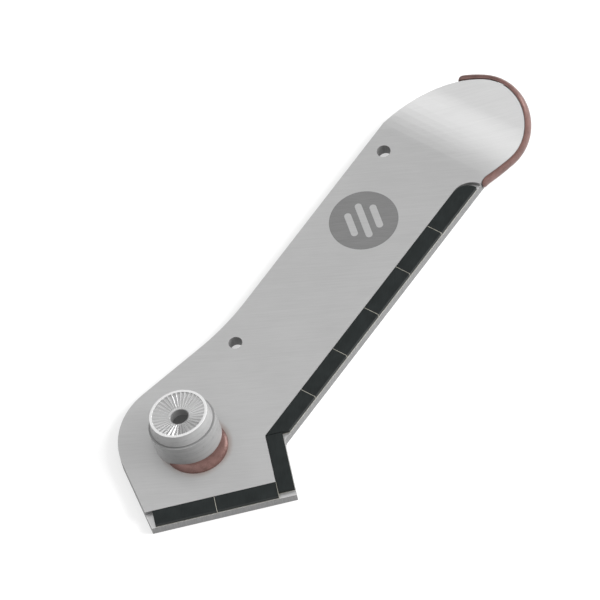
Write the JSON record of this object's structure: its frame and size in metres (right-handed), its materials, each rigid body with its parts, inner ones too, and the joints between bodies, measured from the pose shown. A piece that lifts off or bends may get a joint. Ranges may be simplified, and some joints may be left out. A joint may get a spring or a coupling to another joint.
{
  "type": "swivel knife",
  "caption": "Flat steel weeder knife with brazed carbide tiles along its cutting edges, a leaning welded hub with a serrated seat, and an upturned, hard-faced tip.",
  "frame": {"origin": "on the underside plane of the plate, below the middle of the hub's foot", "axes": "+X along the blade from the hub to the upturned tip, +Y towards the plain back edge (the long cutting edge faces -Y), +Z out of the plate's top face, on the hub's side"},
  "size_m": [0.4312, 0.1453, 0.042],
  "materials": {
    "plate": "finely brushed sheet steel",
    "boss": "turned steel",
    "ring": "turned steel with cut teeth",
    "hub_weld": "heat-tinted copper-brown weld",
    "tip_bead": "heat-tinted copper-brown hard-facing",
    "carbide": "sintered, near-black satin",
    "braze": "pale silver braze"
  },
  "bodies": {
    "root": {"blade_plate": "plate", "hub_boss": "boss", "serrated_ring": "ring", "hub_weld": "hub_weld", "tip_bead": "tip_bead", "heel_tile": "carbide", "base_tile_1": "carbide", "base_tile_2": "carbide", "edge_tile_1": "carbide", "edge_tile_2": "carbide", "edge_tile_3": "carbide", "edge_tile_4": "carbide", "edge_tile_5": "carbide", "edge_tile_6": "carbide", "heel_foil": "braze", "base_foil_1": "braze", "base_foil_2": "braze", "edge_foil_1": "braze", "edge_foil_2": "braze", "edge_foil_3": "braze", "edge_foil_4": "braze", "edge_foil_5": "braze", "edge_foil_6": "braze"}
  },
  "joints": []
}
